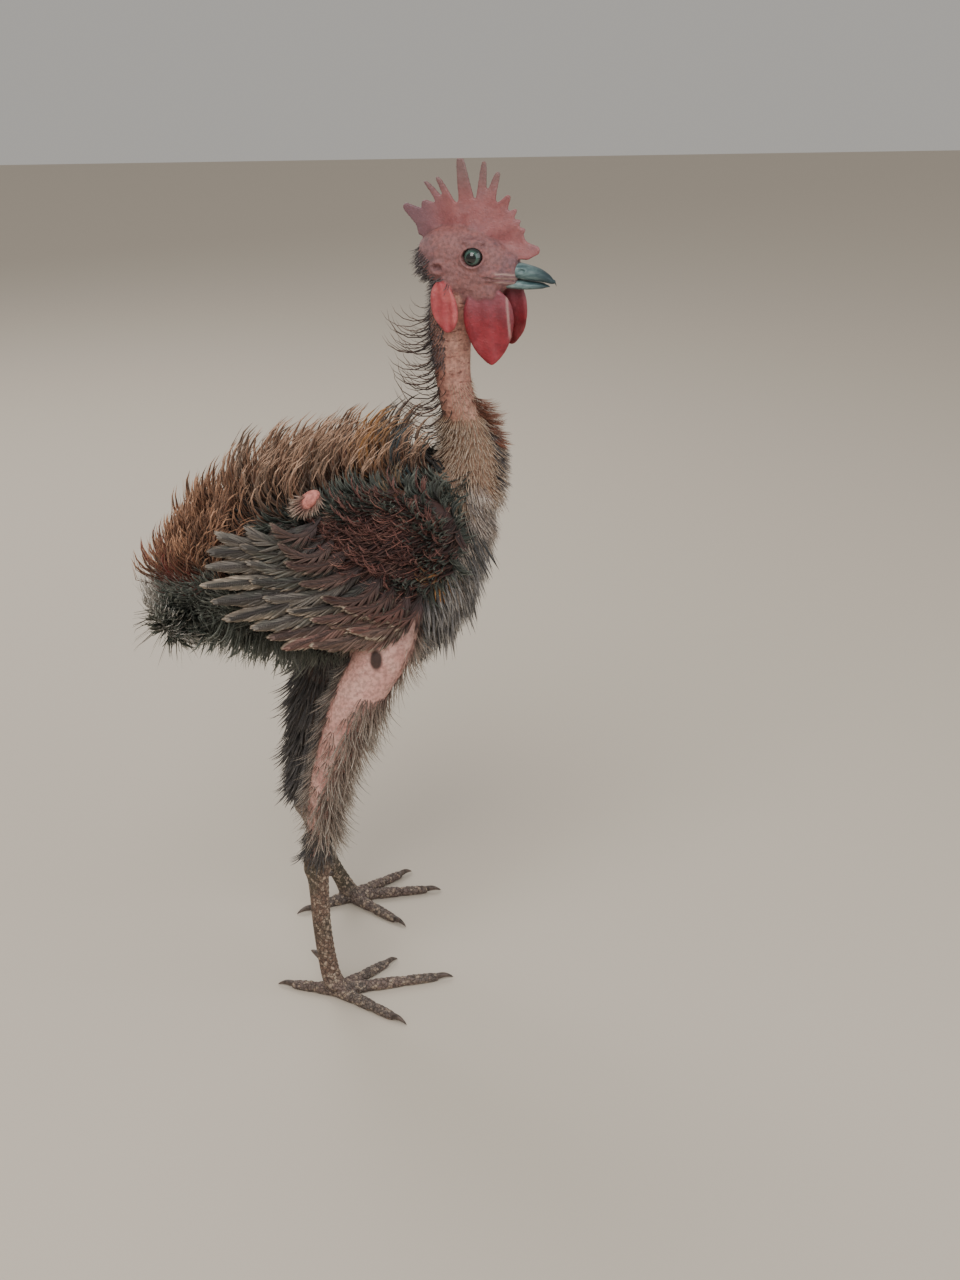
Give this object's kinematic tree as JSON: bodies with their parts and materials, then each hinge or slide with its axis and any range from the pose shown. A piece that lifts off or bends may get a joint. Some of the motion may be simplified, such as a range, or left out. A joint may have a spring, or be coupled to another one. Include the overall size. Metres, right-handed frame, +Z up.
{
  "type": "rooster",
  "caption": "Still life-size rooster with bare neck, curled feathers, upright comb, hanging wattles, part-grown wings and tall legs, standing on spread toes.",
  "frame": {"origin": "on the floor, under the middle of the whole bird's box", "axes": "+Z up, +X the way the body faces, -Y the bird's right side; the bill is turned about 22 degrees to the right"},
  "size_m": [0.2844, 0.213, 0.5784],
  "materials": {
    "plumage": "curled feathers, dark at the root and orange-brown at the tip",
    "wing_feathers": "frayed grey flight feathers under maroon coverts",
    "bare_skin": "pinkish-brown bare skin, wrinkled, matte",
    "face_skin": "dusky red facial skin, fine bumps",
    "comb": "fleshy red, fine pimples, satin",
    "wattle": "fleshy bright red, fine folds, satin",
    "bill": "blue-grey horn, satin",
    "claw": "dark horn, satin",
    "eye": "dark, wet gloss",
    "leg_scales": "mottled pink-brown and olive scales"
  },
  "bodies": {
    "root": {"beak_lower": "bill", "beak_upper": "bill", "claw_back_left": "claw", "claw_back_right": "claw", "claw_inner_left": "claw", "claw_inner_right": "claw", "claw_middle_left": "claw", "claw_middle_right": "claw", "claw_outer_left": "claw", "claw_outer_right": "claw", "comb": "comb", "earlobe_left": "wattle", "earlobe_right": "wattle", "eye_left": "eye", "eye_right": "eye", "head": "face_skin", "neck": "bare_skin", "shank_left": "leg_scales", "shank_right": "leg_scales", "spur_left": "claw", "spur_right": "claw", "tail": "plumage", "thigh_left": "bare_skin", "thigh_right": "bare_skin", "toe_back_left": "leg_scales", "toe_back_right": "leg_scales", "toe_inner_left": "leg_scales", "toe_inner_right": "leg_scales", "toe_middle_left": "leg_scales", "toe_middle_right": "leg_scales", "toe_outer_left": "leg_scales", "toe_outer_right": "leg_scales", "torso": "plumage", "wattle_left": "wattle", "wattle_right": "wattle", "wing_left": "wing_feathers", "wing_right": "wing_feathers"}
  },
  "joints": []
}
